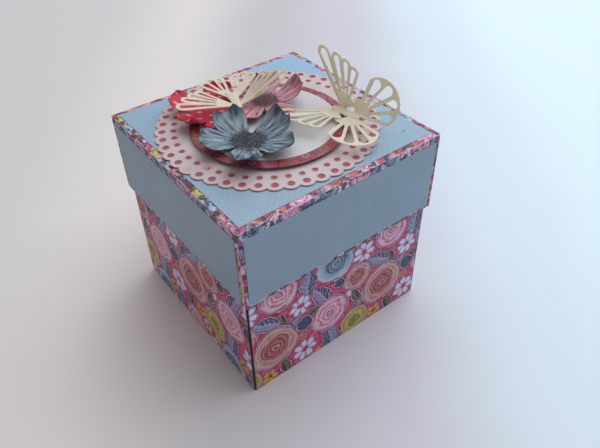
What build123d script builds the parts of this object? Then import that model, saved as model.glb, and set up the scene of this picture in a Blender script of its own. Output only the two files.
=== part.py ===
from build123d import *
import os

os.makedirs("parts", exist_ok=True)

# Explosion box: a folded card box whose four loose walls fall open once its lid is lifted off.
# Sizes are in millimetres. The origin is the middle of the base's underside and +Z points up.
# The front is the -Y side.

# Card and paper
card = 0.4
paper = 0.2
disc_paper = 0.3
fold_radius = 0.6
inner_fold_radius = fold_radius - card

# Box and the two smaller crosses folded inside it
box_width = 100.0
wall_height = 97.0
edge_clearance = 0.15
layer_step = 6.0
middle_drop = 4.0
inner_drop = 9.0

# Lid
lid_play = 1.2
lid_depth = 39.0
tab_width = 12.0
tab_margin = 1.0

# Blue panels on the lid and the printed border that shows round them
top_border = 3.0
side_border = 2.3
upper_border = 3.6
lower_border = 1.5

# Doily and the disc that backs it
doily_x = -0.5
doily_y = 1.4
doily_share = 0.98
scallop_count = 46
scallop_radius = 4.0
scallop_sides = 16
first_scallop_angle = 269.1
outer_hole_inset = 3.2
outer_hole_radius = 1.55
inner_hole_inset = 8.1
inner_hole_radius = 1.3
hole_sides = 8
backing_margin = 0.1
unpunched_hole = 36
hanging_hole = 37
hanging_gap = 0.35
hanging_neck = 0.6

# Patterned mat, the white disc on it and the foam pads under it
mat_x = -1.7
mat_y = -1.1
mat_share = 0.682
mat_card = 0.4
mat_lift = 1.4
mat_pad_width = 12.0
mat_pad_spacing = 30.0
white_disc_x = -1.5
white_disc_y = -0.7
mat_border = 4.4

# Stamped flowers: the flat middle, then petal widths and fold places as shares of the reach
flower_middle_radius = 5.5
petal_root_width = 0.16
petal_waist = 0.44
petal_waist_width = 0.27
petal_shoulder = 0.72
petal_shoulder_width = 0.36
petal_near_tip = 0.9
petal_near_tip_width = 0.22
first_curl = 0.52
second_curl = 0.78
flower_pad_width = 7.0
blue_reach = 20.5
red_reach = 19.5
pink_reach = 18.5
blue_pad_height = 2.4
red_pad_height = 1.0
pink_pad_height = 2.9

# Butterflies: the body, the rim round each opening and the strip where a wing folds up
wing_paper = 0.35
wing_rim = 1.05
body_length = 15.0
body_width = 2.6
fold_offset = 0.8
fold_strip_length = 5.5
fold_strip_width = 1.4
fold_strip_overlap = 0.15
forewing_root = 3.4
hindwing_root = -3.4
cell_start = 5.5
cell_start_radius = 0.35
tip_sides = 6
hindwing_middle = 138.0
hindwing_distance = 13.6
hindwing_radius = 10.4
butterfly_pad_width = 2.0
left_pad_height = 3.4
right_pad_height = 1.8

# Widths and heights worked out from the sizes above
middle_width = box_width - layer_step
inner_width = middle_width - layer_step
middle_height = wall_height - middle_drop
inner_height = wall_height - inner_drop
doily_radius = doily_share * box_width / 2
outer_hole_ring = doily_radius - outer_hole_inset
inner_hole_ring = doily_radius - inner_hole_inset
mat_radius = mat_share * box_width / 2
white_disc_radius = mat_radius - mat_border
lid_inner_width = box_width + 2 * lid_play
lid_width = lid_inner_width + 2 * card
lid_top = wall_height + card
lid_bottom = lid_top - lid_depth
panel_top = lid_top + paper
backing_top = panel_top + disc_paper
doily_top = backing_top + disc_paper
mat_bottom = doily_top + mat_lift
mat_top = mat_bottom + mat_card
white_disc_top = mat_top + paper


def folded_block(width, bottom, height, radius, is_lid):
    """A square block, rounded where the card is folded round it."""
    with BuildPart() as block:
        with BuildSketch(Plane.XY.offset(bottom)):
            Rectangle(width, width)
        extrude(amount=height)
        if is_lid:
            folds = block.edges().filter_by(Axis.Z) + block.faces().sort_by(Axis.Z)[-1].edges()
        else:
            folds = block.faces().sort_by(Axis.Z)[0].edges()
        fillet(folds, radius=radius)
    return block.part


def folded_cross(width, height, bottom):
    """A card cross folded up into a base and four walls that are not joined at the corners."""
    outside = folded_block(width, bottom, height, fold_radius, False)
    inside = folded_block(width - 2 * card, bottom + card, height, inner_fold_radius, False)
    notch = card + edge_clearance
    with BuildPart() as cross:
        add(outside)
        add(inside, mode=Mode.SUBTRACT)
        with BuildSketch(Plane.XY.offset(bottom)):
            with GridLocations(width - notch, width - notch, 2, 2):
                Rectangle(notch, notch)
        extrude(amount=height, mode=Mode.SUBTRACT)
    return cross


def disc(x, y, bottom, radius, thickness):
    """A plain round disc lying flat."""
    with BuildPart() as round_sheet:
        with BuildSketch(Plane.XY.offset(bottom)):
            with Locations((x, y)):
                Circle(radius)
        extrude(amount=thickness)
    return round_sheet


def pad(x, y, bottom, width, height):
    """A square foam pad."""
    with BuildPart() as foam:
        with BuildSketch(Plane.XY.offset(bottom)):
            with Locations((x, y)):
                Rectangle(width, width)
        extrude(amount=height)
    return foam


def turned(plane, direction, angle):
    """The plane turned about a direction through its own origin."""
    axis = Axis(plane.origin, direction)
    x_dir = plane.x_dir.rotate(axis, angle)
    z_dir = plane.z_dir.rotate(axis, angle)
    return Plane(origin=plane.origin, x_dir=x_dir, z_dir=z_dir)


def petal(base, angle, reach, lift):
    """One petal cut from a strip that lies flat at the middle and curls up towards its tip."""
    along = turned(base, base.z_dir, angle)
    upright = Plane(origin=base.origin, x_dir=along.x_dir, z_dir=-along.y_dir)
    places = (flower_middle_radius, first_curl * reach, second_curl * reach, reach)
    curl = [(x, lift * ((x - places[0]) / (reach - places[0])) ** 2) for x in places]
    upper_curl = [(x, z + disc_paper) for x, z in reversed(curl)]
    with BuildPart() as leaf:
        with BuildSketch(upright):
            with BuildLine():
                Polyline((0, 0), *curl, *upper_curl, (0, disc_paper), (0, 0))
            make_face()
        extrude(amount=reach / 2, both=True)
        with BuildSketch(along.offset(-disc_paper)):
            with BuildLine():
                root = (0, petal_root_width * reach)
                waist = (petal_waist * reach, petal_waist_width * reach)
                shoulder = (petal_shoulder * reach, petal_shoulder_width * reach)
                near_tip = (petal_near_tip * reach, petal_near_tip_width * reach)
                Polyline((0, 0), root, waist, shoulder, near_tip, (reach, 0))
                mirror(about=Plane.XZ)
            make_face()
        extrude(amount=lift + 3 * disc_paper, mode=Mode.INTERSECT)
    return leaf.part


def flower(x, y, bottom, reach, angles, lifts):
    """A stamped flower: a flat middle and petals that are each curled by their own amount."""
    base = Plane.XY.offset(bottom).move(Pos(x, y, 0))
    petals = [petal(base, angle, reach, lift) for angle, lift in zip(angles, lifts)]
    with BuildPart() as blossom:
        with BuildSketch(base):
            RegularPolygon(flower_middle_radius, 2 * len(angles))
        extrude(amount=disc_paper)
        add(petals)
    return blossom


def cell(root, angle, start, reach, start_radius, end_radius):
    """Outline of one tapered wing cell, from its narrow start to its rounded tip."""
    way = 90 - angle
    tip = root + Vector(reach - end_radius, 0).rotate(Axis.Z, way)
    near = root + Vector(start, 0).rotate(Axis.Z, way)
    corners = [near + Vector(0, -start_radius).rotate(Axis.Z, way)]
    for step in range(tip_sides + 1):
        turn = way - 90 + step * 180 / tip_sides
        corners.append(tip + Vector(end_radius, 0).rotate(Axis.Z, turn))
    corners.append(near + Vector(0, start_radius).rotate(Axis.Z, way))
    with BuildSketch() as outline:
        with BuildLine():
            Polyline(*corners, close=True)
        make_face()
    return outline.sketch


def wing(plane, side, root_y, cells, round_outline):
    """One openwork wing: a fan of tapered openings with a narrow rim round each."""
    root = Vector(side * (fold_strip_width / 2 - fold_strip_overlap), root_y)
    rims = []
    openings = []
    for angle, reach, radius in cells:
        way = side * angle
        rims.append(cell(root, way, 0, reach, fold_strip_width / 2, radius))
        opening_reach = reach - wing_rim
        openings.append(cell(root, way, cell_start, opening_reach, cell_start_radius, radius - wing_rim))
    with BuildPart() as sheet:
        with BuildSketch(plane):
            with Locations(root):
                Rectangle(fold_strip_width, fold_strip_length)
            if round_outline:
                way = side * hindwing_middle
                reach = hindwing_distance + hindwing_radius
                add(cell(root, way, 0, reach, fold_strip_width / 2, hindwing_radius))
            else:
                add(rims)
            add(openings, mode=Mode.SUBTRACT)
        extrude(amount=wing_paper)
    return sheet.part


# Direction from the head, reach and tip radius of each cell
left_forewing = [(80, 25.5, 3.0), (96, 22.5, 2.5), (109, 20.2, 2.4), (122, 18.4, 2.4)]
left_hindwing = [(144, 18.0, 3.0), (159, 20.0, 3.0), (172.5, 19.8, 2.5)]
right_forewing = [(60, 28.8, 3.5), (76, 25.2, 2.9), (89, 23.2, 2.8), (102, 21.5, 2.8)]
right_hindwing = [(114, 20.8, 3.5), (131, 23.7, 3.6), (148, 23.6, 3.5), (164, 20.3, 3.1)]


def butterfly(x, y, bottom, heading, forewing, hindwing, round_hindwing, fore_folds, hind_folds):
    """A die-cut butterfly: a flat body and four wings folded up, given as right and left angles."""
    flat = Plane.XY.offset(bottom).move(Pos(x, y, 0))
    base = turned(flat, flat.z_dir, heading - 90)
    wings = []
    for side, fore_fold, hind_fold in zip((1, -1), fore_folds, hind_folds):
        fold_line = base.origin + base.x_dir * side * fold_offset + base.z_dir * wing_paper / 2
        hinge = Plane(origin=fold_line, x_dir=base.x_dir, z_dir=base.z_dir)
        fore_plane = turned(hinge, base.y_dir, -side * fore_fold)
        hind_plane = turned(hinge, base.y_dir, -side * hind_fold)
        wings.append(wing(fore_plane, side, forewing_root, forewing, False))
        wings.append(wing(hind_plane, side, hindwing_root, hindwing, round_hindwing))
    with BuildPart() as insect:
        with BuildSketch(base):
            Ellipse(body_width / 2, body_length / 2)
        extrude(amount=wing_paper)
        add(wings)
    return insect


# Box: three crosses, one inside the other
outer_box = folded_cross(box_width, wall_height, 0)
middle_layer = folded_cross(middle_width, middle_height, card)
inner_layer = folded_cross(inner_width, inner_height, 2 * card)

# Lid: one folded sheet, with glue tabs from the side skirts inside the front and back ones
tab_height = lid_depth - card - 2 * tab_margin
tab_middle_z = lid_bottom + tab_margin + tab_height / 2
lid_outside = folded_block(lid_width, lid_bottom, lid_depth, fold_radius, True)
lid_inside = folded_block(lid_inner_width, lid_bottom, lid_depth - card, inner_fold_radius, True)
with BuildPart() as lid_cap:
    add(lid_outside)
    add(lid_inside, mode=Mode.SUBTRACT)
    with Locations((0, 0, tab_middle_z)):
        with GridLocations(lid_inner_width - tab_width, lid_inner_width - card, 2, 2):
            Box(tab_width, card, tab_height)

# Blue panels glued on the lid
panel_width = lid_width - 2 * side_border
panel_height = lid_depth - upper_border - lower_border
panel_middle_z = lid_bottom + lower_border + panel_height / 2
with BuildPart() as lid_top_panel:
    with BuildSketch(Plane.XY.offset(lid_top)):
        Rectangle(lid_width - 2 * top_border, lid_width - 2 * top_border)
    extrude(amount=paper)


def skirt_panel(outward, across):
    """A panel on the skirt that faces outward."""
    face = Plane(origin=outward * (lid_width / 2) + Vector(0, 0, panel_middle_z), x_dir=across, z_dir=outward)
    with BuildPart() as panel:
        with BuildSketch(face):
            Rectangle(panel_width, panel_height)
        extrude(amount=paper)
    return panel


lid_front_panel = skirt_panel(Vector(0, -1, 0), Vector(1, 0, 0))
lid_back_panel = skirt_panel(Vector(0, 1, 0), Vector(-1, 0, 0))
lid_left_panel = skirt_panel(Vector(-1, 0, 0), Vector(0, -1, 0))
lid_right_panel = skirt_panel(Vector(1, 0, 0), Vector(0, 1, 0))

# Doily and its backing
backing_radius = outer_hole_ring + outer_hole_radius + backing_margin
doily_backing = disc(doily_x, doily_y, panel_top, backing_radius, disc_paper)

scallop_ring = doily_radius - scallop_radius
scallop_step = 360 / scallop_count
with BuildPart() as doily:
    with BuildSketch(Plane.XY.offset(backing_top)):
        with Locations((doily_x, doily_y)):
            RegularPolygon(scallop_ring + scallop_radius / 2, scallop_count)
            with PolarLocations(scallop_ring, scallop_count, start_angle=first_scallop_angle):
                RegularPolygon(scallop_radius, scallop_sides)
            for hole in range(scallop_count):
                angle = first_scallop_angle + hole * scallop_step
                if hole != unpunched_hole:
                    with PolarLocations(outer_hole_ring, 1, start_angle=angle):
                        RegularPolygon(outer_hole_radius, hole_sides, mode=Mode.SUBTRACT)
                with PolarLocations(inner_hole_ring, 1, start_angle=angle):
                    RegularPolygon(inner_hole_radius, hole_sides, mode=Mode.SUBTRACT)
                if hole == hanging_hole:
                    with PolarLocations(inner_hole_ring, 1, start_angle=angle):
                        RegularPolygon(inner_hole_radius - hanging_gap, hole_sides)
                        Rectangle(2 * inner_hole_radius, hanging_neck, align=(Align.MIN, Align.CENTER))
    extrude(amount=disc_paper)

# Mat on its foam pads, with the white disc on it
with BuildPart() as mat_pads:
    with BuildSketch(Plane.XY.offset(doily_top)):
        with Locations((mat_x, mat_y)):
            with GridLocations(mat_pad_spacing, mat_pad_spacing, 2, 2):
                Rectangle(mat_pad_width, mat_pad_width)
    extrude(amount=mat_lift)
patterned_mat = disc(mat_x, mat_y, mat_bottom, mat_radius, mat_card)
white_disc = disc(white_disc_x, white_disc_y, mat_top, white_disc_radius, paper)

# Flowers, each on its pad. The red one lies lowest and the blue one's petals reach over it.
blue_x, blue_y = -19.3, -11.5
red_x, red_y = -17.0, 22.0
pink_x, pink_y = 4.2, 10.0
blue_flower_pad = pad(blue_x, blue_y, white_disc_top, flower_pad_width, blue_pad_height)
red_flower_pad = pad(red_x, red_y, white_disc_top, flower_pad_width, red_pad_height)
pink_flower_pad = pad(pink_x, pink_y, white_disc_top, flower_pad_width, pink_pad_height)
blue_bottom = white_disc_top + blue_pad_height
red_bottom = white_disc_top + red_pad_height
pink_bottom = white_disc_top + pink_pad_height
blue_flower = flower(blue_x, blue_y, blue_bottom, blue_reach, [136, 71, -8, -69, -150], [7, 5, 6.5, 3, 5])
red_flower = flower(red_x, red_y, red_bottom, red_reach, [115, 187, 259, -29, 43], [6, 5, 0.8, 0, 3])
pink_flower = flower(pink_x, pink_y, pink_bottom, pink_reach, [126, 198, 270, -18, 54], [1.5, 0.8, 0.8, 6, 6])

# Butterflies: the left one stands on the red flower, the right one on the mat's edge
left_x, left_y = -8.0, 15.0
right_x = mat_x + 0.865 * mat_radius
right_y = mat_y - 0.519 * mat_radius
left_pad_bottom = red_bottom + disc_paper
left_pad_x, left_pad_y = left_x - 0.3, left_y - 0.9
right_pad_x, right_pad_y = right_x - 0.2, right_y + 3.6
left_butterfly_pad = pad(left_pad_x, left_pad_y, left_pad_bottom, butterfly_pad_width, left_pad_height)
right_butterfly_pad = pad(right_pad_x, right_pad_y, mat_top, butterfly_pad_width, right_pad_height)
left_bottom = left_pad_bottom + left_pad_height
right_bottom = mat_top + right_pad_height
left_wings = (left_forewing, left_hindwing, False)
right_wings = (right_forewing, right_hindwing, True)
left_butterfly = butterfly(left_x, left_y, left_bottom, 248, *left_wings, (17, 31), (9, 17))
right_butterfly = butterfly(right_x, right_y, right_bottom, 93, *right_wings, (82, 9), (64, 4))

pieces = {
    "outer_box": outer_box,
    "middle_layer": middle_layer,
    "inner_layer": inner_layer,
    "lid_cap": lid_cap,
    "lid_top_panel": lid_top_panel,
    "lid_front_panel": lid_front_panel,
    "lid_back_panel": lid_back_panel,
    "lid_left_panel": lid_left_panel,
    "lid_right_panel": lid_right_panel,
    "doily_backing": doily_backing,
    "doily": doily,
    "mat_pads": mat_pads,
    "patterned_mat": patterned_mat,
    "white_disc": white_disc,
    "blue_flower_pad": blue_flower_pad,
    "blue_flower": blue_flower,
    "red_flower_pad": red_flower_pad,
    "red_flower": red_flower,
    "pink_flower_pad": pink_flower_pad,
    "pink_flower": pink_flower,
    "left_butterfly_pad": left_butterfly_pad,
    "left_butterfly": left_butterfly,
    "right_butterfly_pad": right_butterfly_pad,
    "right_butterfly": right_butterfly,
}
for name, piece in pieces.items():
    piece.part.label = name
    export_step(piece.part, f"parts/{name}.step")
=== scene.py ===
import math
import random

import bpy
from mathutils import Matrix, Vector
from mathutils.geometry import delaunay_2d_cdt


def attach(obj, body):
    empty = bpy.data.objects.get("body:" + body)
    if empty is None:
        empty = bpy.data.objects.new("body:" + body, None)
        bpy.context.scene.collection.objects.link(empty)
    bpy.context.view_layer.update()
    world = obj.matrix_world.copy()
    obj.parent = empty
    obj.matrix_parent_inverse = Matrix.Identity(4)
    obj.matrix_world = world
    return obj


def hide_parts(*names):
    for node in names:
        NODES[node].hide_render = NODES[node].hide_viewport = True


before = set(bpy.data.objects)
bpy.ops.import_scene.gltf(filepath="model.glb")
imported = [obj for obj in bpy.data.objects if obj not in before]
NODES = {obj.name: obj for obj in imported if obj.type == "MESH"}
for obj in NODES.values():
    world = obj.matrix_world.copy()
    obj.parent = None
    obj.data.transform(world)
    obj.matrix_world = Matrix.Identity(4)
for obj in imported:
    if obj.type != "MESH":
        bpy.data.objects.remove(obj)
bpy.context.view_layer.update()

MM = 0.001
PAPER = 0.3
# The pale tone far from the part, in the floor and the surround as the camera sees them
FAR_TONE = (0.62, 0.62, 0.66)

# The doily of the solids, in millimetres: its middle, rings of holes and scallops
DOILY = (-0.5, 1.4)
SCALLOPS = 46
FIRST_SCALLOP = 269.1
OUTER_RING = 45.8
INNER_RING = 40.9
SCALLOP_RING = 45.0
DOILY_BOTTOM = 97.9
OUTER_HOLE = 1.5
INNER_HOLE = 1.25
SCALLOP = 4.0
SCALLOP_OVERLAP = 1.6
CUT_OUT = 1.2
UNPUNCHED_HOLE = 36
HANGING_HOLE = 37
HANGING_TILT = 0.7


# Camera, where the photograph was taken from
CAMERA_PLACE = Vector((-125.933, -186.909, 235.712))
CAMERA_RIGHT = Vector((0.791256, -0.611316, -0.014382))
CAMERA_UP = Vector((0.410548, 0.513667, 0.753390))
SENSOR_WIDTH, LENS = 36.0, 35.858


def make_camera():
    camera = bpy.data.objects.new("camera", bpy.data.cameras.new("camera"))
    bpy.context.scene.collection.objects.link(camera)
    back = CAMERA_RIGHT.cross(CAMERA_UP)
    turn = Matrix((CAMERA_RIGHT, CAMERA_UP, back)).transposed().to_4x4()
    camera.matrix_world = Matrix.Translation(CAMERA_PLACE * MM) @ turn
    camera.data.sensor_width = SENSOR_WIDTH
    camera.data.lens = LENS
    camera.data.clip_start = 0.01
    bpy.context.scene.camera = camera


make_camera()


class Tree:
    """Short forms for building the nodes of a material, a node group or the world."""

    def __init__(self, tree):
        self.nodes = tree.nodes
        self.links = tree.links

    def feed(self, socket, value):
        if isinstance(value, bpy.types.NodeSocket):
            self.links.new(value, socket)
        elif isinstance(value, tuple) and len(value) == 3 and socket.type == "RGBA":
            socket.default_value = (*value, 1.0)
        else:
            socket.default_value = value

    def node(self, kind, inputs, output=0, **settings):
        made = self.nodes.new(kind)
        for name, value in settings.items():
            setattr(made, name, value)
        for name, value in inputs.items():
            self.feed(made.inputs[name], value)
        return made.outputs[output]

    def math(self, operation, *values):
        return self.node("ShaderNodeMath", dict(enumerate(values)), operation=operation)

    def vector(self, operation, *values):
        return self.node("ShaderNodeVectorMath", dict(enumerate(values)), operation=operation)

    def length(self, value):
        return self.node("ShaderNodeVectorMath", {0: value}, output=1, operation="LENGTH")

    def dot(self, a, b):
        return self.node("ShaderNodeVectorMath", {0: a, 1: b}, output=1, operation="DOT_PRODUCT")

    def mix(self, factor, a, b, blend="MIX"):
        inputs = {0: factor, 6: a, 7: b}
        return self.node("ShaderNodeMix", inputs, output=2, data_type="RGBA", blend_type=blend)

    def mix_vector(self, factor, a, b):
        return self.node("ShaderNodeMix", {0: factor, 4: a, 5: b}, output=1, data_type="VECTOR")

    def split(self, value):
        made = self.nodes.new("ShaderNodeSeparateXYZ")
        self.feed(made.inputs[0], value)
        return made.outputs[0], made.outputs[1], made.outputs[2]

    def join(self, x, y, z=0.0):
        return self.node("ShaderNodeCombineXYZ", {0: x, 1: y, 2: z})

    def noise(self, vector, scale, detail=2.0, output=0):
        inputs = {"Vector": vector, "Scale": scale, "Detail": detail}
        return self.node("ShaderNodeTexNoise", inputs, output=output)

    def ramp(self, factor, stops, interpolation="LINEAR"):
        made = self.nodes.new("ShaderNodeValToRGB")
        made.color_ramp.interpolation = interpolation
        elements = made.color_ramp.elements
        while len(elements) < len(stops):
            elements.new(0.5)
        for element, (place, colour) in zip(elements, stops):
            element.position = place
            element.color = (*colour, 1.0)
        self.feed(made.inputs[0], factor)
        return made.outputs[0]

    def step(self, value, edge, softness=0.0):
        """0 below the edge and 1 above it."""
        if not softness:
            return self.math("GREATER_THAN", value, edge)
        inputs = {"Value": value, "From Min": edge - softness, "From Max": edge + softness}
        return self.node("ShaderNodeMapRange", inputs, interpolation_type="SMOOTHSTEP")

    def position(self):
        """The point in the part's own frame, in millimetres."""
        return self.scaled(self.nodes.new("ShaderNodeTexCoord").outputs["Object"], 1000.0)

    def scaled(self, vector, factor):
        made = self.nodes.new("ShaderNodeVectorMath")
        made.operation = "SCALE"
        self.feed(made.inputs[0], vector)
        self.feed(made.inputs["Scale"], factor)
        return made.outputs[0]

    def normal(self):
        return self.nodes.new("ShaderNodeTexCoord").outputs["Normal"]

    def inverse(self, value):
        return self.math("SUBTRACT", 1.0, value)

    def weak(self, value, share):
        return self.math("MULTIPLY", value, share)

    def camera_ray(self):
        return self.nodes.new("ShaderNodeLightPath").outputs["Is Camera Ray"]

    def end_with(self, factor, first, second):
        """Both shaders mixed by the factor become the output, of a material or of the world."""
        both = self.node("ShaderNodeMixShader", {0: factor})
        self.links.new(first, both.node.inputs[1])
        self.links.new(second, both.node.inputs[2])
        kinds = ("OUTPUT_MATERIAL", "OUTPUT_WORLD")
        output = next(node for node in self.nodes if node.type in kinds)
        self.links.new(both, output.inputs[0])

    def dots(self, place, pitch, radius, softness):
        """1 on round dots that stand the pitch apart both ways, 0 between them."""
        half = pitch / 2
        cell = self.vector("WRAP", place, (half, half, 1.0), (-half, -half, -1.0))
        from_middle = self.length(self.vector("MULTIPLY", cell, (1.0, 1.0, 0.0)))
        return self.inverse(self.step(from_middle, radius, softness))


# Lights: a cool soft lamp from the right and a slightly warm surround, brighter above and below than level
LAMP_SIZE, LAMP_POWER, LAMP_DISTANCE = 1.8, 20.0, 1.3
LAMP_COLOUR = (0.86, 0.96, 1.0)
LAMP_DIRECTION = Vector((0.52, 0.05, 0.85))
LAMP_AIM = Vector((0, 0, 0.08))
SURROUND_COLOUR = (1.0, 0.9, 0.85)
SURROUND_LEVEL, SURROUND_RISE = 0.05, 0.58


def make_lights():
    lamp_data = bpy.data.lights.new("window_light", "AREA")
    lamp_data.shape = "SQUARE"
    lamp_data.size = LAMP_SIZE
    lamp_data.energy = LAMP_POWER
    lamp_data.color = LAMP_COLOUR
    lamp = bpy.data.objects.new("window_light", lamp_data)
    direction = LAMP_DIRECTION.normalized()
    lamp.location = LAMP_AIM + direction * LAMP_DISTANCE
    lamp.rotation_euler = direction.to_track_quat("Z", "Y").to_euler()
    bpy.context.scene.collection.objects.link(lamp)
    world = bpy.data.worlds.new("surround")
    world.use_nodes = True
    tree = Tree(world.node_tree)
    surround = tree.nodes["Background"]
    surround.inputs["Color"].default_value = (*SURROUND_COLOUR, 1)
    _, _, up = tree.split(tree.nodes.new("ShaderNodeTexCoord").outputs["Generated"])
    strength = tree.math("MULTIPLY_ADD", tree.math("ABSOLUTE", up), SURROUND_RISE, SURROUND_LEVEL)
    tree.feed(surround.inputs["Strength"], strength)
    seen = tree.node("ShaderNodeBackground", {"Color": FAR_TONE})
    tree.end_with(tree.camera_ray(), surround.outputs[0], seen)
    bpy.context.scene.world = world


make_lights()
bpy.context.scene.view_settings.view_transform = "Standard"


def paper_material(name, colour_of, roughness=0.62, grain=0.02, fibre=40.0):
    """A paper surface: colour_of(tree, place) gives its colour; fine fibres show in its bump and tone."""
    material = bpy.data.materials.new(name)
    material.use_nodes = True
    tree = Tree(material.node_tree)
    shader = tree.nodes["Principled BSDF"]
    place = tree.position()
    fine = tree.noise(place, fibre * 0.05, 4.0)
    colour = colour_of(tree, place)
    tone = tree.math("MULTIPLY_ADD", fine, 0.10, 0.95)
    toned = tree.vector("MULTIPLY", colour, tree.join(tone, tone, tone))
    tree.feed(shader.inputs["Base Color"], toned)
    shader.inputs["Roughness"].default_value = roughness
    shader.inputs["Specular IOR Level"].default_value = 0.35
    height = tree.noise(place, fibre * 0.09, 3.0)
    bump = tree.node("ShaderNodeBump", {"Height": height, "Strength": 0.25, "Distance": grain * MM})
    tree.feed(shader.inputs["Normal"], bump)
    return material


# Printed paper: a generic garden print of ringed blooms, daisies, leaves and spots on crimson.
TILE = 64.0
BLOOMS = {
    "coral": [(0.0, (0.62, 0.26, 0.24)), (0.09, (0.14, 0.01, 0.02)), (0.17, (0.70, 0.32, 0.28)),
              (0.25, (0.20, 0.02, 0.03)), (0.35, (0.62, 0.20, 0.18)), (0.44, (0.12, 0.01, 0.02)),
              (0.54, (0.60, 0.20, 0.17)), (0.61, (0.24, 0.03, 0.03)), (0.72, (0.70, 0.42, 0.34)),
              (0.80, (0.42, 0.16, 0.13)), (0.90, (0.70, 0.46, 0.38)), (1.08, (0.52, 0.28, 0.25))],
    "pale": [(0.0, (0.45, 0.02, 0.07)), (0.12, (0.80, 0.42, 0.46)), (0.20, (0.38, 0.03, 0.08)),
             (0.30, (0.84, 0.58, 0.60)), (0.42, (0.55, 0.12, 0.20)), (0.50, (0.84, 0.62, 0.62)),
             (0.62, (0.72, 0.30, 0.36)), (0.69, (0.46, 0.08, 0.14)), (0.78, (0.82, 0.56, 0.58)),
             (0.92, (0.74, 0.40, 0.46)), (1.08, (0.55, 0.16, 0.24))],
    "grey": [(0.0, (0.50, 0.57, 0.59)), (0.12, (0.03, 0.05, 0.07)), (0.22, (0.42, 0.50, 0.53)),
             (0.33, (0.04, 0.07, 0.10)), (0.44, (0.28, 0.36, 0.41)), (0.53, (0.03, 0.05, 0.08)),
             (0.62, (0.22, 0.31, 0.37)), (0.80, (0.34, 0.46, 0.51)), (0.92, (0.44, 0.54, 0.58)),
             (1.02, (0.60, 0.64, 0.64))],
    "yellow": [(0.0, (0.60, 0.48, 0.08)), (0.14, (0.06, 0.05, 0.02)), (0.26, (0.54, 0.44, 0.07)),
               (0.38, (0.09, 0.07, 0.03)), (0.50, (0.52, 0.42, 0.08)), (0.66, (0.62, 0.52, 0.12)),
               (0.80, (0.28, 0.21, 0.04)), (0.90, (0.62, 0.52, 0.16)), (1.02, (0.60, 0.38, 0.30))],
}


def bloom(tree, local, kind, petals):
    x, y, _ = tree.split(local)
    radius = tree.length(local)
    angle = tree.math("DIVIDE", tree.math("ARCTAN2", y, x), 2 * math.pi)
    swirl = tree.math("FRACT", tree.math("ADD", angle, 0.5))
    round_about = tree.math("MULTIPLY_ADD", angle, float(petals), tree.math("MULTIPLY", radius, 1.7))
    overlap = tree.math("FRACT", round_about)
    lobes = tree.math("ABSOLUTE", tree.math("SINE", tree.math("MULTIPLY", round_about, math.pi)))
    wobble = tree.math("MULTIPLY_ADD", lobes, -0.10, tree.math("MULTIPLY_ADD", overlap, 0.14, 0.98))
    stepped = tree.math("MULTIPLY", radius, wobble)
    depth = tree.math("MULTIPLY_ADD", swirl, 0.09, stepped)
    return tree.ramp(depth, BLOOMS[kind]), stepped


def daisy(tree, local, petals, petal_colour, shade_colour, middle_colour):
    x, y, _ = tree.split(local)
    radius = tree.length(local)
    angle = tree.math("ARCTAN2", y, x)
    lobe = tree.math("ABSOLUTE", tree.math("COSINE", tree.math("MULTIPLY", angle, petals / 2)))
    edge = tree.math("MULTIPLY_ADD", tree.math("POWER", lobe, 0.6), 0.55, 0.45)
    share = tree.math("DIVIDE", radius, edge)
    shade = tree.step(tree.math("MULTIPLY", lobe, radius), 0.26, 0.22)
    petal = tree.mix(shade, shade_colour, petal_colour)
    petal = tree.mix(tree.step(share, 0.93), petal, shade_colour)
    middle = tree.step(radius, 0.27)
    return tree.mix(middle, middle_colour, petal), share


def leaf(tree, local, light, dark, vein):
    x, y, _ = tree.split(local)
    half_width = tree.math("MULTIPLY_ADD", tree.math("MULTIPLY", x, x), -0.44, 0.44)
    out = tree.math("ABSOLUTE", y)
    share = tree.math("DIVIDE", out, tree.math("MAXIMUM", half_width, 0.001))
    colour = tree.mix(tree.step(y, 0.0), dark, light)
    ribs = tree.math("FRACT", tree.math("MULTIPLY", tree.math("SUBTRACT", x, out), 3.2))
    colour = tree.mix(tree.math("LESS_THAN", ribs, 0.16), colour, vein)
    colour = tree.mix(tree.math("LESS_THAN", out, 0.03), colour, vein)
    colour = tree.mix(tree.step(share, 0.86), colour, dark)
    beyond = tree.math("MULTIPLY", tree.math("LESS_THAN", half_width, 0.0), 9.0)
    return colour, tree.math("ADD", share, beyond)


def spot(tree, local, colour):
    radius = tree.length(local)
    return tree.mix(tree.step(radius, 0.8), colour, tuple(c * 0.6 for c in colour)), radius


SLATE = ((0.24, 0.25, 0.35), (0.07, 0.08, 0.13), (0.46, 0.46, 0.56))
CHARCOAL = ((0.10, 0.10, 0.08), (0.015, 0.015, 0.02), (0.30, 0.26, 0.14))
PURPLE = ((0.28, 0.20, 0.34), (0.08, 0.05, 0.13), (0.50, 0.44, 0.55))
WHITE_DAISY = (7, (0.76, 0.74, 0.78), (0.40, 0.36, 0.46), (0.50, 0.04, 0.12))
ORANGE_BLOSSOM = (5, (0.80, 0.42, 0.06), (0.50, 0.20, 0.03), (0.20, 0.08, 0.02))
YELLOW_BLOSSOM = (5, (0.82, 0.66, 0.30), (0.55, 0.40, 0.14), (0.45, 0.10, 0.06))
NAVY = (0.03, 0.07, 0.14)
RUST = (0.70, 0.16, 0.05)
FAWN = (0.84, 0.60, 0.58)
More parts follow.
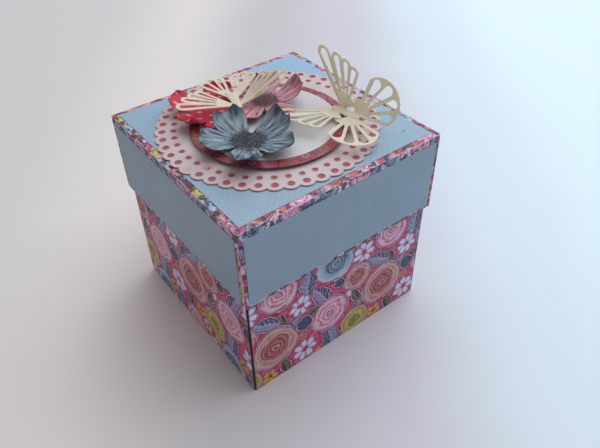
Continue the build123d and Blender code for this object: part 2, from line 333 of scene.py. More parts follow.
# Each motif, its look and its size in print millimetres, largest first
MOTIFS = [
    (bloom, ("coral", 3), 12.0), (bloom, ("grey", 3), 10.0), (bloom, ("pale", 4), 10.5),
    (bloom, ("pale", 3), 9.5), (bloom, ("yellow", 3), 8.5), (bloom, ("coral", 4), 7.5),
    (daisy, WHITE_DAISY, 7.0), (daisy, WHITE_DAISY, 6.0), (daisy, WHITE_DAISY, 6.5),
    (leaf, SLATE, 10.5), (leaf, SLATE, 9.5), (leaf, PURPLE, 9.5), (leaf, SLATE, 8.5),
    (leaf, CHARCOAL, 6.5), (leaf, CHARCOAL, 5.5), (spot, (NAVY,), 4.0),
    (daisy, ORANGE_BLOSSOM, 4.6), (daisy, ORANGE_BLOSSOM, 4.0), (daisy, YELLOW_BLOSSOM, 4.2),
    (leaf, PURPLE, 6.0), (leaf, CHARCOAL, 5.0), (spot, (NAVY,), 2.6), (spot, (RUST,), 2.2),
    (leaf, SLATE, 5.5), (daisy, YELLOW_BLOSSOM, 3.4), (spot, (FAWN,), 2.4),
    (leaf, CHARCOAL, 4.5), (leaf, SLATE, 5.0),
]


CRIMSON = [(0.35, (0.52, 0.03, 0.10)), (0.55, (0.64, 0.06, 0.15)), (0.7, (0.75, 0.20, 0.28))]
OUTLINE = 0.42
LEAF_OUTLINE = 2.4
LEAF_REACH = 0.62
TRIES = 400
PALE_LINE = (0.66, 0.46, 0.52)
DARK_LINE = (0.16, 0.02, 0.05)


def spread_motifs():
    """Each motif goes where it is furthest from those placed before it, on a tile that repeats."""
    draw = random.Random(11)
    placed = []
    for make, look, size in MOTIFS:
        reach = size * (LEAF_REACH if make is leaf else 1.0)
        best = None
        for _ in range(TRIES):
            x, y = draw.uniform(0, TILE), draw.uniform(0, TILE)
            room = TILE
            for other_x, other_y, other_reach, *_ in placed:
                gap_x = (x - other_x + TILE / 2) % TILE - TILE / 2
                gap_y = (y - other_y + TILE / 2) % TILE - TILE / 2
                room = min(room, math.hypot(gap_x, gap_y) - other_reach - reach)
            if best is None or room > best[0]:
                best = (room, x, y)
        placed.append((best[1], best[2], reach, make, look, size, draw.uniform(0, 2 * math.pi)))
    return placed


def garden_print():
    """The print as a node group: a place on the sheet in millimetres gives the colour there."""
    group = bpy.data.node_groups.new("garden_print", "ShaderNodeTree")
    group.interface.new_socket("Place", in_out="INPUT", socket_type="NodeSocketVector")
    group.interface.new_socket("Colour", in_out="OUTPUT", socket_type="NodeSocketColor")
    tree = Tree(group)
    given = group.nodes.new("NodeGroupInput").outputs[0]
    wander = tree.vector("SUBTRACT", tree.noise(given, 0.24, 4.0, output=1), (0.5, 0.5, 0.5))
    place = tree.vector("MULTIPLY", tree.vector("ADD", given, tree.scaled(wander, 3.2)), (1.0, 1.0, 0.0))
    streak = tree.noise(given, 0.5, 3.0)
    colour = tree.ramp(streak, CRIMSON)
    for x, y, _, make, look, size, turn in reversed(spread_motifs()):
        high, low = (x + TILE / 2, y + TILE / 2, 1.0), (x - TILE / 2, y - TILE / 2, -1.0)
        near = tree.vector("WRAP", place, high, low)
        mapping = {
            "Vector": near, "Location": (x, y, 0.0), "Rotation": (0.0, 0.0, turn),
            "Scale": (size, size, 1.0),
        }
        local = tree.node("ShaderNodeMapping", mapping, vector_type="TEXTURE")
        motif, share = make(tree, local, *look)
        line = OUTLINE / size * (LEAF_OUTLINE if make is leaf else 1.0)
        colour = tree.mix(tree.math("LESS_THAN", share, 1.0 + 2.2 * line), colour, DARK_LINE)
        colour = tree.mix(tree.math("LESS_THAN", share, 1.0 + line), colour, PALE_LINE)
        motif = tree.mix(tree.math("GREATER_THAN", share, 1.0 - 0.7 * line), motif, DARK_LINE)
        colour = tree.mix(tree.math("LESS_THAN", share, 1.0), colour, motif)
    dabs = tree.step(tree.noise(given, 1.3, 2.0), 0.66, 0.03)
    colour = tree.mix(tree.math("MULTIPLY", dabs, 0.5), colour, (0.88, 0.72, 0.72))
    out = group.nodes.new("NodeGroupOutput")
    tree.feed(out.inputs[0], colour)
    return group


GARDEN = garden_print()
PLAIN_CARD = (0.80, 0.77, 0.75)
DARK_PATCH = (0.035, 0.04, 0.045)
WORN_EDGE = (0.70, 0.58, 0.60)
# Near black, painted as shade at the open vertical corners of the box
PAINTED_CORNER_SHADE = (0.02, 0.01, 0.015)
PRINT_TINT = (1.0, 1.02, 1.25)
FACING = 0.7


def garden_at(tree, place):
    printed = tree.nodes.new("ShaderNodeGroup")
    printed.node_tree = GARDEN
    tree.feed(printed.inputs[0], place)
    return printed.outputs[0]


def printed_material(name, middle_z, shifts, scale, ink, corner):
    """Print on the outside of a folded card, plain card inside. shifts place it on sides, ends and flats.

    ink is how strong the dark patches are, corner how far out the painted shade of the open corners starts.
    """

    def colour_of(tree, place):
        x, y, z = tree.split(place)
        normal = tree.normal()
        nx, ny, nz = tree.split(tree.vector("ABSOLUTE", normal))
        across_y = tree.vector("ADD", tree.join(x, z), (*shifts[0], 0.0))
        across_x = tree.vector("ADD", tree.join(y, z), (*shifts[1], 0.0))
        flat = tree.vector("ADD", tree.join(x, y), (*shifts[2], 0.0))
        sheet = tree.mix_vector(tree.step(nx, FACING), across_y, across_x)
        sheet = tree.mix_vector(tree.step(nz, FACING), sheet, flat)
        patches = tree.step(tree.noise(sheet, 0.28, 2.0), 0.54, 0.03)
        colour = tree.mix(tree.weak(patches, ink), garden_at(tree, tree.scaled(sheet, scale)), DARK_PATCH)
        sharpest = tree.math("MAXIMUM", tree.math("MAXIMUM", nx, ny), nz)
        fold = tree.inverse(tree.step(sharpest, 0.93, 0.05))
        worn = tree.math("MULTIPLY", fold, tree.step(tree.noise(place, 0.5, 3.0), 0.47, 0.08))
        colour = tree.mix(tree.weak(worn, 0.75), colour, WORN_EDGE)
        # Painted shade: near the open vertical corners the print turns nearly black, where the gap between
        # the walls lies in shade
        if corner:
            ax, ay, _ = tree.split(tree.vector("ABSOLUTE", place))
            nearest = tree.math("MINIMUM", ax, ay)
            shade = tree.step(nearest, corner, 0.25)
            colour = tree.mix(tree.weak(shade, 0.85), colour, PAINTED_CORNER_SHADE)
        colour = tree.vector("MULTIPLY", colour, PRINT_TINT)
        outward = tree.dot(normal, tree.vector("SUBTRACT", place, (0.0, 0.0, middle_z)))
        return tree.mix(tree.step(outward, 0.0), PLAIN_CARD, colour)

    return paper_material(name, colour_of, roughness=0.5)


DOT_PITCH, DOT_RADIUS = 3.2, 0.40
BLUE_TONES = [(0.3, (0.265, 0.375, 0.50)), (0.7, (0.295, 0.405, 0.53))]
# Lighter blue, painted as light on the far corner of the lid's top
PAINTED_LIGHT_BLUE = (0.28, 0.52, 0.76)
DOT_COLOUR = (0.74, 0.78, 0.80)
SMUDGE = (40.3, -40.3, 97.6)
SMUDGE_COLOUR = (0.08, 0.10, 0.13)


def dotted_material(name):
    """Blue paper with small pale dots set diagonally, painted lighter and bluer towards the top's far corner
    where light falls, one small smudge.
    """

    def colour_of(tree, place):
        x, y, z = tree.split(place)
        normal = tree.normal()
        nx, _, nz = tree.split(tree.vector("ABSOLUTE", normal))
        sheet = tree.mix_vector(tree.step(nx, FACING), tree.join(x, z), tree.join(y, z))
        sheet = tree.mix_vector(tree.step(nz, FACING), sheet, tree.join(x, y))
        half = DOT_PITCH / 2
        rows = [tree.dots(tree.vector("ADD", sheet, (shift, shift, 0.0)), DOT_PITCH, DOT_RADIUS, 0.12)
                for shift in (0.0, half)]
        dots = tree.math("MAXIMUM", *rows)
        ground = tree.ramp(tree.noise(place, 0.06, 3.0), BLUE_TONES)
        # Painted light: on the top panel only, the blue turns lighter and bluer towards the far corner
        fade = tree.step(tree.dot(place, (0.7, 0.7, 0.0)), 25.0, 60.0)
        fade = tree.math("MULTIPLY", fade, tree.step(nz, FACING))
        ground = tree.mix(tree.weak(fade, 0.8), ground, PAINTED_LIGHT_BLUE)
        from_smudge = tree.vector("SUBTRACT", place, SMUDGE)
        mark = tree.length(tree.vector("MULTIPLY", from_smudge, (0.7, 1.6, 1.0)))
        dark = tree.inverse(tree.step(mark, 0.8, 0.3))
        colour = tree.mix(tree.weak(dots, 0.13), ground, DOT_COLOUR)
        return tree.mix(tree.weak(dark, 0.6), colour, SMUDGE_COLOUR)

    return paper_material(name, colour_of, roughness=0.45)


def hole_distance(tree, place, ring, step_angle):
    """Distance from the nearest of the places that are spaced evenly round a ring of the doily."""
    x, y, _ = tree.split(tree.vector("SUBTRACT", place, (*DOILY, 0.0)))
    angle = tree.math("ARCTAN2", y, x)
    turned = tree.math("SUBTRACT", angle, math.radians(FIRST_SCALLOP))
    near = tree.math("WRAP", turned, step_angle / 2, -step_angle / 2)
    radius = tree.length(tree.join(x, y))
    along = tree.math("SUBTRACT", tree.math("MULTIPLY", radius, tree.math("COSINE", near)), ring)
    aside = tree.math("MULTIPLY", radius, tree.math("SINE", near))
    return tree.length(tree.join(along, aside))


DOILY_TONES = [(0.3, (0.54, 0.45, 0.47)), (0.7, (0.60, 0.53, 0.54))]
DOILY_RIM = (0.60, 0.32, 0.36)


def doily_colour(tree, place):
    """Pale paper, printed darker round the holes and along the scallops."""
    step_angle = 2 * math.pi / SCALLOPS
    outer = hole_distance(tree, place, OUTER_RING, step_angle)
    inner = hole_distance(tree, place, INNER_RING, step_angle)
    rim = hole_distance(tree, place, SCALLOP_RING, step_angle)
    near_scallop = tree.inverse(tree.step(outer, 1.95, 0.3))
    near_hole = tree.inverse(tree.step(inner, 1.7, 0.3))
    tint = tree.math("MAXIMUM", near_scallop, near_hole)
    x, y, _ = tree.split(tree.vector("SUBTRACT", place, (*DOILY, 0.0)))
    outside = tree.step(tree.length(tree.join(x, y)), SCALLOP_RING)
    rim_tint = tree.math("MULTIPLY", tree.step(rim, 3.45, 0.3), outside)
    tint = tree.math("MAXIMUM", tint, rim_tint)
    ground = tree.ramp(tree.noise(place, 0.12, 3.0), DOILY_TONES)
    return tree.mix(tree.weak(tint, 0.55), ground, DOILY_RIM)


def plain(colour, other, scale=0.1):
    """One colour that drifts a little towards another."""

    def colour_of(tree, place):
        return tree.ramp(tree.noise(place, scale, 4.0), [(0.3, colour), (0.7, other)])

    return colour_of


MAT_SCALE = 3.4
MAT_CRIMSON = (0.24, 0.015, 0.06)


def mat_colour(tree, place):
    """The same print, small and dim, under deep crimson."""
    return tree.mix(0.74, garden_at(tree, tree.scaled(place, MAT_SCALE)), MAT_CRIMSON)


def cream_material():
    """Thin cream card that lets some light through."""
    material = paper_material("cream_card", plain((0.84, 0.81, 0.67), (0.90, 0.87, 0.76), 0.15))
    tree = Tree(material.node_tree)
    through = tree.node("ShaderNodeBsdfTranslucent", {"Color": (0.95, 0.90, 0.76)})
    tree.end_with(0.4, tree.nodes["Principled BSDF"].outputs[0], through)
    return material


BOX_SHIFTS = ((3.0, 14.0), (31.0, 2.0), (0.0, 0.0))
LID_SHIFTS = ((11.0, 40.0), (27.0, 9.0), (20.0, 33.0))
MATERIALS = {
    "outer_box": printed_material("garden_card", 48.0, BOX_SHIFTS, 1.0, 0.0, 49.1),
    "lid_cap": printed_material("garden_lid_card", 60.0, LID_SHIFTS, 1.9, 0.85, 0.0),
    "blue_paper": dotted_material("dotted_blue_paper"),
    "plain_card": paper_material("white_card", plain((0.80, 0.77, 0.75), (0.84, 0.82, 0.80))),
    "rose_paper": paper_material("rose_paper", plain((0.30, 0.09, 0.13), (0.36, 0.12, 0.16))),
    "doily": paper_material("doily_card", doily_colour),
    "foam": paper_material("white_foam", plain((0.80, 0.80, 0.78), (0.86, 0.86, 0.84)), fibre=120.0),
    "patterned_mat": paper_material("patterned_card", mat_colour, roughness=0.5),
    "white_paper": paper_material("white_paper", plain((0.56, 0.54, 0.58), (0.62, 0.60, 0.64), 0.04)),
    "blue_petals": paper_material("blue_petal_paper", plain((0.16, 0.21, 0.25), (0.30, 0.38, 0.44), 0.4)),
    "red_petals": paper_material("red_petal_paper", plain((0.50, 0.03, 0.06), (0.60, 0.06, 0.08), 0.2)),
    "pink_petals": paper_material("pink_petal_paper", plain((0.42, 0.20, 0.25), (0.52, 0.28, 0.32), 0.3)),
    "cream_card": cream_material(),
}
FINISHES = {
    "outer_box": "outer_box", "lid_cap": "lid_cap", "middle_layer": "plain_card", "inner_layer": "plain_card",
    "lid_top_panel": "blue_paper", "lid_front_panel": "blue_paper", "lid_back_panel": "blue_paper",
    "lid_left_panel": "blue_paper", "lid_right_panel": "blue_paper", "doily_backing": "rose_paper",
    "doily": "doily", "mat_pads": "foam", "patterned_mat": "patterned_mat", "white_disc": "white_paper",
    "blue_flower_pad": "foam", "red_flower_pad": "foam", "pink_flower_pad": "foam",
    "left_butterfly_pad": "foam", "right_butterfly_pad": "foam", "blue_flower": "blue_petals",
    "red_flower": "red_petals", "pink_flower": "pink_petals", "left_butterfly": "cream_card",
    "right_butterfly": "cream_card",
}
for node, finish in FINISHES.items():
    for slot in NODES[node].material_slots:
        slot.material = MATERIALS[finish]


# Cut sheets: flat shapes with openings, bent afterwards
def cut_sheet(outlines, openings, spacing=None):
    """Triangles inside any outline and outside every opening, with inner points to bend by."""
    points, faces = [], []
    for loop in outlines + openings:
        faces.append(list(range(len(points), len(points) + len(loop))))
        points.extend(Vector(corner) for corner in loop)
    if spacing:
        low_x, high_x = min(p.x for p in points), max(p.x for p in points)
        low_y, high_y = min(p.y for p in points), max(p.y for p in points)
        row = 0
        y = low_y
        while y < high_y:
            x = low_x + (row % 2) * spacing / 2
            while x < high_x:
                points.append(Vector((x, y)))
                x += spacing
            y += spacing * 0.87
            row += 1
    found, _, triangles, _, _, sources = delaunay_2d_cdt(points, [], faces, 0, 1e-5, True)
    kept = [t for t, owners in zip(triangles, sources)
            if any(o < len(outlines) for o in owners) and all(o < len(outlines) for o in owners)]
    used = sorted({corner for t in kept for corner in t})
    renamed = {old: new for new, old in enumerate(used)}
    return [found[corner] for corner in used], [[renamed[corner] for corner in t] for t in kept]


def ring(middle, radius, count, start=0.0):
    angles = [start + 2 * math.pi * k / count for k in range(count)]
    return [middle + Vector((math.cos(angle), math.sin(angle))) * radius for angle in angles]


def finish_piece(name, vertices, faces, thickness, material, node, uvs=None, offset=1.0):
    """A thin sheet in the part's frame, given in millimetres, that stands for one node of the lid."""
    mesh = bpy.data.meshes.new(name)
    mesh.from_pydata([tuple(Vector(v) * MM) for v in vertices], [], faces)
    if uvs:
        layer = mesh.uv_layers.new(name="sheet")
        for loop in mesh.loops:
            layer.data[loop.index].uv = uvs[loop.vertex_index]
    mesh.materials.append(material)
    mesh.shade_smooth()
    piece = bpy.data.objects.new(name, mesh)
    bpy.context.scene.collection.objects.link(piece)
    thicken = piece.modifiers.new("thickness", "SOLIDIFY")
    thicken.thickness = thickness * MM
    thicken.offset = offset
    thicken.use_even_offset = False
    split = piece.modifiers.new("crisp_edges", "EDGE_SPLIT")
    split.split_angle = math.radians(50)
    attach(piece, "lid")
    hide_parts(node)
    return piece


# Butterflies, in millimetres. Each cell of a wing: its angle from the head in degrees, reach and tip radius
WING_CARD = 0.35
WING_RIM = 1.4
FOLD_OFFSET = 0.8
BEND_WIDTH = 3.2
BODY_HALF = 1.8
BODY_LENGTH = 15.0
BODY_DOME = 0.3
WING_ROOT = 3.4
ROOT_HALF = 0.7
ROOT_INSET = 0.15
STRIP_HALF = 2.75
CELL_START = 7.6
CELL_ROOT_HALF = 0.4
WEB_RADIUS = 7.0
WEB_MARGIN = 5
MIDDLE_MARGIN = 40
BEND_REACH = 20.0
LEFT_FOREWING = [(80, 25.5, 3.0), (96, 22.5, 2.5), (109, 20.2, 2.4), (122, 18.4, 2.4)]
LEFT_HINDWING = [(144, 18.0, 3.0), (159, 20.0, 3.0), (172.5, 19.8, 2.5)]
RIGHT_FOREWING = [(60, 28.8, 3.5), (76, 25.2, 2.9), (89, 23.2, 2.8), (102, 21.5, 2.8)]
RIGHT_HINDWING = [(114, 20.8, 3.5), (131, 23.7, 3.6), (148, 23.6, 3.5), (164, 20.3, 3.1)]
HINDWING_MIDDLE, HINDWING_DISTANCE, HINDWING_RADIUS = 138, 13.6, 10.4


def wing_cell(root, way, start, reach, start_radius, end_radius, count=14):
    """A loop that widens from the start to a round end, along the way from the root."""
    along = Vector((math.cos(way), math.sin(way)))
    aside = Vector((-along.y, along.x))
    tip, near = root + along * (reach - end_radius), root + along * start
    corners = [near - aside * start_radius]
    for step in range(count + 1):
        turn = math.pi * (step / count - 0.5)
        corners.append(tip + (along * math.cos(turn) + aside * math.sin(turn)) * end_radius)
    corners.append(near + aside * start_radius)
    return corners


def wing_shape(side, root_y, cells, solid, rounded):
    """One side's flat wing with its openings; solid widens its middle and rounded gives it a round end."""
    root = Vector((side * (ROOT_HALF - ROOT_INSET), root_y))
    strip = [root + Vector((x * ROOT_HALF, y * STRIP_HALF)) for x, y in ((-1, -1), (1, -1), (1, 1), (-1, 1))]
    outlines, openings = [strip], []

    def way_of(angle):
        return math.radians(90 - side * angle)

    for angle, reach, radius in cells:
        if not rounded:
            outlines.append(wing_cell(root, way_of(angle), 0, reach, ROOT_HALF, radius))
        opening = (CELL_START, reach - WING_RIM, CELL_ROOT_HALF, radius - WING_RIM)
        openings.append(wing_cell(root, way_of(angle), *opening))
    first, last = cells[0][0] - WEB_MARGIN, cells[-1][0] + WEB_MARGIN
    if solid and root_y > 0:
        last += MIDDLE_MARGIN
    elif solid:
        first -= MIDDLE_MARGIN
    web = [way_of(first + (last - first) * k / 8) for k in range(9)]
    outlines.append([root] + [root + Vector((math.cos(a), math.sin(a))) * WEB_RADIUS for a in web][::-side])
    if rounded:
        reach = HINDWING_DISTANCE + HINDWING_RADIUS
        outlines.append(wing_cell(root, way_of(HINDWING_MIDDLE), 0, reach, ROOT_HALF, HINDWING_RADIUS, 30))
    return cut_sheet(outlines, openings, 1.0)


def fold_up(out, height, fold):
    """A point of the flat wing once it is bent up: the card curves over BEND_WIDTH, then runs straight."""
    turned = min(1.0, out / BEND_WIDTH)
    radius = BEND_WIDTH / fold
    angle = fold * turned
    along, up = radius * math.sin(angle), radius * (1 - math.cos(angle))
    straight = max(0.0, out - BEND_WIDTH)
    along += straight * math.cos(fold) - height * math.sin(angle)
    up += straight * math.sin(fold) + height * math.cos(angle)
    return along, up


def butterfly(node, x, y, bottom, heading, forewing, hindwing, rounded_hindwing, folds, bends):
    """Folds and bends are for the right forewing, left forewing, right hindwing and left hindwing."""
    turn = Matrix.Rotation(math.radians(heading - 90), 4, "Z")
    base = Matrix.Translation((x, y, bottom + WING_CARD / 2)) @ turn
    outline = [Vector((p.x * BODY_HALF, p.y * BODY_LENGTH / 2)) for p in ring(Vector((0, 0)), 1.0, 40)]
    body, faces = cut_sheet([outline], [], 0.9)
    vertices = [base @ Vector((p.x, p.y, BODY_DOME * (1 - (p.x / BODY_HALF) ** 2))) for p in body]
    wings = ((1, WING_ROOT, forewing, False), (-1, WING_ROOT, forewing, False),
             (1, -WING_ROOT, hindwing, rounded_hindwing), (-1, -WING_ROOT, hindwing, rounded_hindwing))
    for (side, root_y, cells, rounded), fold, bend in zip(wings, folds, bends):
        flat, triangles = wing_shape(side, root_y, cells, rounded_hindwing, rounded)
        first = len(vertices)
        for point in flat:
            out, inside = max(0.0, side * point.x), min(0.0, side * point.x)
            along, up = fold_up(out, bend * (out / BEND_REACH) ** 2, math.radians(fold))
            vertices.append(base @ Vector((side * (FOLD_OFFSET + along + inside), point.y, up)))
        faces += [[first + corner for corner in triangle] for triangle in triangles]
    card = MATERIALS["cream_card"]
    return finish_piece(node + "_cut", vertices, faces, WING_CARD, card, node, offset=0.0)


butterfly("left_butterfly", -8.0, 15.0, 104.9, 248, LEFT_FOREWING, LEFT_HINDWING, False,
          (17, 31, 9, 17), (-1.0, 1.5, -0.5, 1.0))
butterfly("right_butterfly", 26.4, -18.9, 101.8, 97, RIGHT_FOREWING, RIGHT_HINDWING, True,
          (82, 7, 68, 1), (2.2, 0.8, 2.0, 1.2))


# Doily with round holes and scallops; one cut-out still hangs in its hole
def make_doily():
    middle = Vector(DOILY)
    step = 2 * math.pi / SCALLOPS
    first = math.radians(FIRST_SCALLOP)
    outlines = [ring(middle, SCALLOP_RING + SCALLOP_OVERLAP, 2 * SCALLOPS)]
    openings = []
    for hole in range(SCALLOPS):
        way = Vector((math.cos(first + hole * step), math.sin(first + hole * step)))
        outlines.append(ring(middle + way * SCALLOP_RING, SCALLOP, 32, first + hole * step))
        if hole != UNPUNCHED_HOLE:
            openings.append(ring(middle + way * OUTER_RING, OUTER_HOLE, 22))
        openings.append(ring(middle + way * INNER_RING, INNER_HOLE, 20))
    points, faces = cut_sheet(outlines, openings)
    vertices = [Vector((p.x, p.y, DOILY_BOTTOM)) for p in points]
    way = Vector((math.cos(first + HANGING_HOLE * step), math.sin(first + HANGING_HOLE * step)))
    aside = Vector((-way.y, way.x))
    hinge = middle + way * (INNER_RING + CUT_OUT)
    cut_out, cut_faces = cut_sheet([ring(middle + way * INNER_RING, CUT_OUT, 20)], [])
    for point in cut_out:
        along = (point - hinge).dot(way)
        beside = (point - hinge).dot(aside)
        flat = hinge + way * along * math.cos(HANGING_TILT) + aside * beside
        vertices.append(Vector((flat.x, flat.y, DOILY_BOTTOM - along * math.sin(HANGING_TILT))))
    faces += [[len(points) + corner for corner in face] for face in cut_faces]
    finish_piece("doily_sheet", vertices, faces, PAPER, MATERIALS["doily"], "doily")


make_doily()


# Stamped flowers
# Half the width of a petal at shares of its reach, as a share of the reach
PETAL_WIDTHS = [(0.0, 0.13), (0.2, 0.17), (0.44, 0.27), (0.62, 0.345),
                (0.76, 0.365), (0.88, 0.335), (0.95, 0.28), (1.0, 0.21)]
PETAL_START = 0.10
PETAL_STEP = 0.03
FLOWER_MIDDLE = 5.5
PETAL_ROWS, PETAL_COLUMNS = 22, 16
MIDDLE_SIDES = 30


def petal_width(share):
    for (low, width_low), (high, width_high) in zip(PETAL_WIDTHS, PETAL_WIDTHS[1:]):
        if share <= high:
            blend = (share - low) / (high - low)
            blend = blend * blend * (3 - 2 * blend)
            return width_low + (width_high - width_low) * blend
    return PETAL_WIDTHS[-1][1]


def flower(name, node, x, y, bottom, reach, petals, material, slot, seed):
    """petals: for each its angle, lift, crease, how much its sides turn up and its tip turns back."""
    draw = random.Random(seed)
    vertices, faces, uvs = [], [], []
    rows, columns = PETAL_ROWS, PETAL_COLUMNS
    flat_share = FLOWER_MIDDLE / reach
    for number, (angle, lift, crease, sides, tip) in enumerate(petals):
        turn = Matrix.Rotation(math.radians(angle), 4, "Z")
        wave, phase = draw.uniform(0.25, 0.45), draw.uniform(0, 6.28)
        notch = draw.uniform(0.02, 0.07)
        first = len(vertices)
        for row in range(rows + 1):
            share = PETAL_START + (1 - PETAL_START) * row / rows
            for column in range(columns + 1):
                across = 2 * column / columns - 1
                out = max(0.0, (share - flat_share) / (1 - flat_share))
                cut = notch * max(0.0, 1 - abs(across) / 0.4) * share ** 6
                side_in = 0.10 * across * across * share ** 3
                along = reach * share * (1 - cut - side_in) - lift * out * out * 0.14
                aside = across * petal_width(share) * reach
                height = lift * out ** 1.8 + sides * across * across * out ** 1.2
                height += crease * (1 - abs(across)) * -out * (1 - 0.5 * out)
                height += wave * math.sin(phase + across * 5.0 + share * 4.0) * out * (0.4 + abs(across))
                height += tip * max(0.0, share - 0.8) ** 2 * 25 * (0.7 + 0.3 * across * across)
                place = turn @ Vector((along, aside, 0.0))
                rise = bottom + 0.02 + number * PETAL_STEP + max(height, 0.0)
                vertices.append(Vector((x + place.x, y + place.y, rise)))
                uvs.append((share, (across + 1) / 2))
        for row in range(rows):
            for column in range(columns):
                a = first + row * (columns + 1) + column
                faces.append([a, a + columns + 1, a + columns + 2, a + 1])
    first = len(vertices)
    vertices.append(Vector((x, y, bottom + 0.25)))
    uvs.append((0.0, 0.5))
    for point in ring(Vector((x, y)), FLOWER_MIDDLE, MIDDLE_SIDES):
        vertices.append(Vector((point.x, point.y, bottom + 0.1)))
        uvs.append((0.2, 0.5))
    faces += [[first, first + 1 + k, first + 1 + (k + 1) % MIDDLE_SIDES] for k in range(MIDDLE_SIDES)]
    return finish_piece(name, vertices, faces, PAPER, material, node, uvs)


def petal_material(name, centre, light, mid, dark, core, core_radius, spots=None):
    """Stamped petals: streaks along each petal, darker edges and a stippled middle."""
    material = bpy.data.materials.new(name)
    material.use_nodes = True
    tree = Tree(material.node_tree)
    shader = tree.nodes["Principled BSDF"]
    place = tree.position()
    uv = tree.nodes.new("ShaderNodeUVMap")
    uv.uv_map = "sheet"
    along, across, _ = tree.split(uv.outputs[0])
    beside = tree.math("MULTIPLY_ADD", across, 2.0, -1.0)
    x, y, _ = tree.split(tree.vector("SUBTRACT", place, (*centre, 0.0)))
    radius = tree.length(tree.join(x, y))
    angle = tree.math("ARCTAN2", y, x)
    streak_place = tree.join(tree.math("MULTIPLY", angle, 6.0), tree.math("MULTIPLY", along, 1.6), 0.0)
    streaks = tree.noise(streak_place, 1.6, 3.0)
    colour = tree.ramp(streaks, [(0.34, dark), (0.46, mid), (0.62, light)])
    fine_place = tree.join(tree.math("MULTIPLY", angle, 26.0), tree.math("MULTIPLY", along, 2.0), 3.0)
    fine = tree.noise(fine_place, 1.3, 2.0)
    lines = tree.inverse(tree.step(fine, 0.40, 0.05))
    fade = tree.math("SUBTRACT", 1.15, along)
    colour = tree.mix(tree.math("MULTIPLY", lines, fade), colour, dark)
    rim = tree.step(tree.math("ABSOLUTE", beside), 0.84, 0.08)
    colour = tree.mix(tree.weak(rim, 0.6), colour, light)
    edge = tree.math("MAXIMUM", tree.step(tree.math("ABSOLUTE", beside), 0.965), tree.step(along, 0.985))
    colour = tree.mix(tree.weak(edge, 0.55), colour, dark)
    if spots:
        pitch, size, spot_colour = spots
        moved = tree.join(tree.math("ADD", x, tree.math("MULTIPLY", y, 0.5)), y)
        colour = tree.mix(tree.dots(moved, pitch, size, 0.15), colour, spot_colour)
    if core:
        core_light = tuple(c + 0.09 for c in core)
        grain = tree.noise(place, 1.5, 1.0)
        limit = tree.math("MULTIPLY_ADD", radius, -1.0 / core_radius, 1.28)
        limit = tree.math("MULTIPLY_ADD", tree.math("SUBTRACT", streaks, 0.5), 0.8, limit)
        dotted = tree.step(tree.math("SUBTRACT", limit, grain), 0.0, 0.08)
        seeds = tree.node("ShaderNodeTexVoronoi", {"Vector": place, "Scale": 1.1})
        seeded = tree.mix(tree.step(seeds, 0.34, 0.08), core_light, core)
        colour = tree.mix(dotted, colour, seeded)
    tree.feed(shader.inputs["Base Color"], colour)
    shader.inputs["Roughness"].default_value = 0.55
    shader.inputs["Specular IOR Level"].default_value = 0.35
    height = tree.math("ADD", streaks, tree.math("MULTIPLY", tree.noise(place, 3.5, 3.0), 0.4))
    bump = tree.node("ShaderNodeBump", {"Height": height, "Strength": 0.5, "Distance": 0.25 * MM})
    tree.feed(shader.inputs["Normal"], bump)
    return material


BLUE, RED, PINK = (-19.3, -11.5), (-17.0, 22.0), (4.2, 10.0)
blue_paper = petal_material("blue_petal_print", BLUE, (0.27, 0.35, 0.42), (0.13, 0.175, 0.23),
                            (0.03, 0.045, 0.07), (0.015, 0.02, 0.03), 9.5)
red_paper = petal_material("red_petal_print", RED, (0.62, 0.04, 0.09), (0.48, 0.02, 0.06),
                           (0.36, 0.015, 0.04), None, 1.0, (5.4, 0.85, (0.72, 0.34, 0.38)))
pink_paper = petal_material("pink_petal_print", PINK, (0.66, 0.36, 0.42), (0.46, 0.20, 0.26),
                            (0.24, 0.07, 0.11), (0.08, 0.025, 0.04), 8.0)
flower("blue_flower_cut", "blue_flower", *BLUE, 102.6, 20.5,
       [(151, 3.0, 1.0, 1.8, -0.4), (88, 3.6, 1.4, 2.6, 1.2), (0, 4.4, 1.2, 2.8, 1.4),
        (-60, 3, 1.2, 1.8, 0.2), (-130, 4, 1.0, 1.6, 0.6)], blue_paper, "blue_petals", 3)
flower("red_flower_cut", "red_flower", *RED, 101.2, 19.5,
       [(129, 3.8, 0.8, 1.5, 0.2), (202, 3.4, 0.8, 1.4, 0.2), (259, 0.8, 0.2, 0.4, 0.0),
        (-29, 0.0, 0.0, 0.0, 0.0), (43, 3, 0.6, 1.0, 0.3)], red_paper, "red_petals", 5)
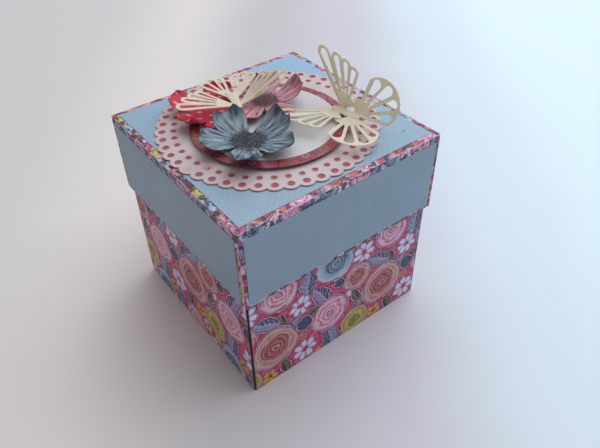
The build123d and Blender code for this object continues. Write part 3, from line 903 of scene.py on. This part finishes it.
flower("pink_flower_cut", "pink_flower", *PINK, 103.1, 18.5,
       [(126, 1.5, 0.4, 0.8, 0.3), (198, 0.8, 0.2, 0.4, 0.0), (270, 0.8, 0.3, 0.5, 0.1),
        (-18, 4.6, 1.0, 2.6, 1.2), (54, 3.2, 1.0, 1.6, 0.2)], pink_paper, "pink_petals", 7)


# Floor with painted light and shade: lighter left of the box where its shadow falls, darker in a band through
# the box, paler and cooler towards the window; one even pale tone far away
PAINTED_FLOOR_LIGHT = [(0.12, (0.64, 0.63, 0.65)), (0.30, (0.74, 0.70, 0.71)), (0.46, (0.55, 0.54, 0.58)),
               (0.60, (0.60, 0.59, 0.67)), (0.76, (0.67, 0.77, 0.88)), (0.92, (0.72, 0.86, 0.94))]


FLOOR_HALF = 20.0
FLOOR_SPAN, FLOOR_START = 500.0, 235.0
FLOOR_ACROSS = (0.79, -0.61, 0.0)
FLOOR_FAR = (0.72, 0.73, 0.77)


def make_floor():
    mesh = bpy.data.meshes.new("floor")
    half = FLOOR_HALF
    corners = [(-half, -half, 0), (half, -half, 0), (half, half, 0), (-half, half, 0)]
    mesh.from_pydata(corners, [], [(0, 1, 2, 3)])
    floor = bpy.data.objects.new("floor", mesh)
    bpy.context.scene.collection.objects.link(floor)
    material = bpy.data.materials.new("pale_floor")
    material.use_nodes = True
    tree = Tree(material.node_tree)
    shader = tree.nodes["Principled BSDF"]
    place = tree.position()
    distance = tree.length(place)
    across = tree.math("ADD", tree.dot(place, FLOOR_ACROSS), FLOOR_START)
    soft = tree.math("MULTIPLY_ADD", tree.noise(place, 0.01, 2.0), 30.0, across)
    # Painted light and shade: the floor's tone follows its place along FLOOR_ACROSS
    colour = tree.ramp(tree.math("DIVIDE", soft, FLOOR_SPAN), PAINTED_FLOOR_LIGHT, "EASE")
    tree.feed(shader.inputs["Base Color"], tree.mix(tree.step(distance, 700.0, 300.0), colour, FLOOR_FAR))
    shader.inputs["Roughness"].default_value = 0.8
    glow = tree.node("ShaderNodeEmission", {"Color": FAR_TONE})
    far = tree.math("MULTIPLY", tree.camera_ray(), tree.step(distance, 900.0, 350.0))
    tree.end_with(far, shader.outputs[0], glow)
    mesh.materials.append(material)


make_floor()
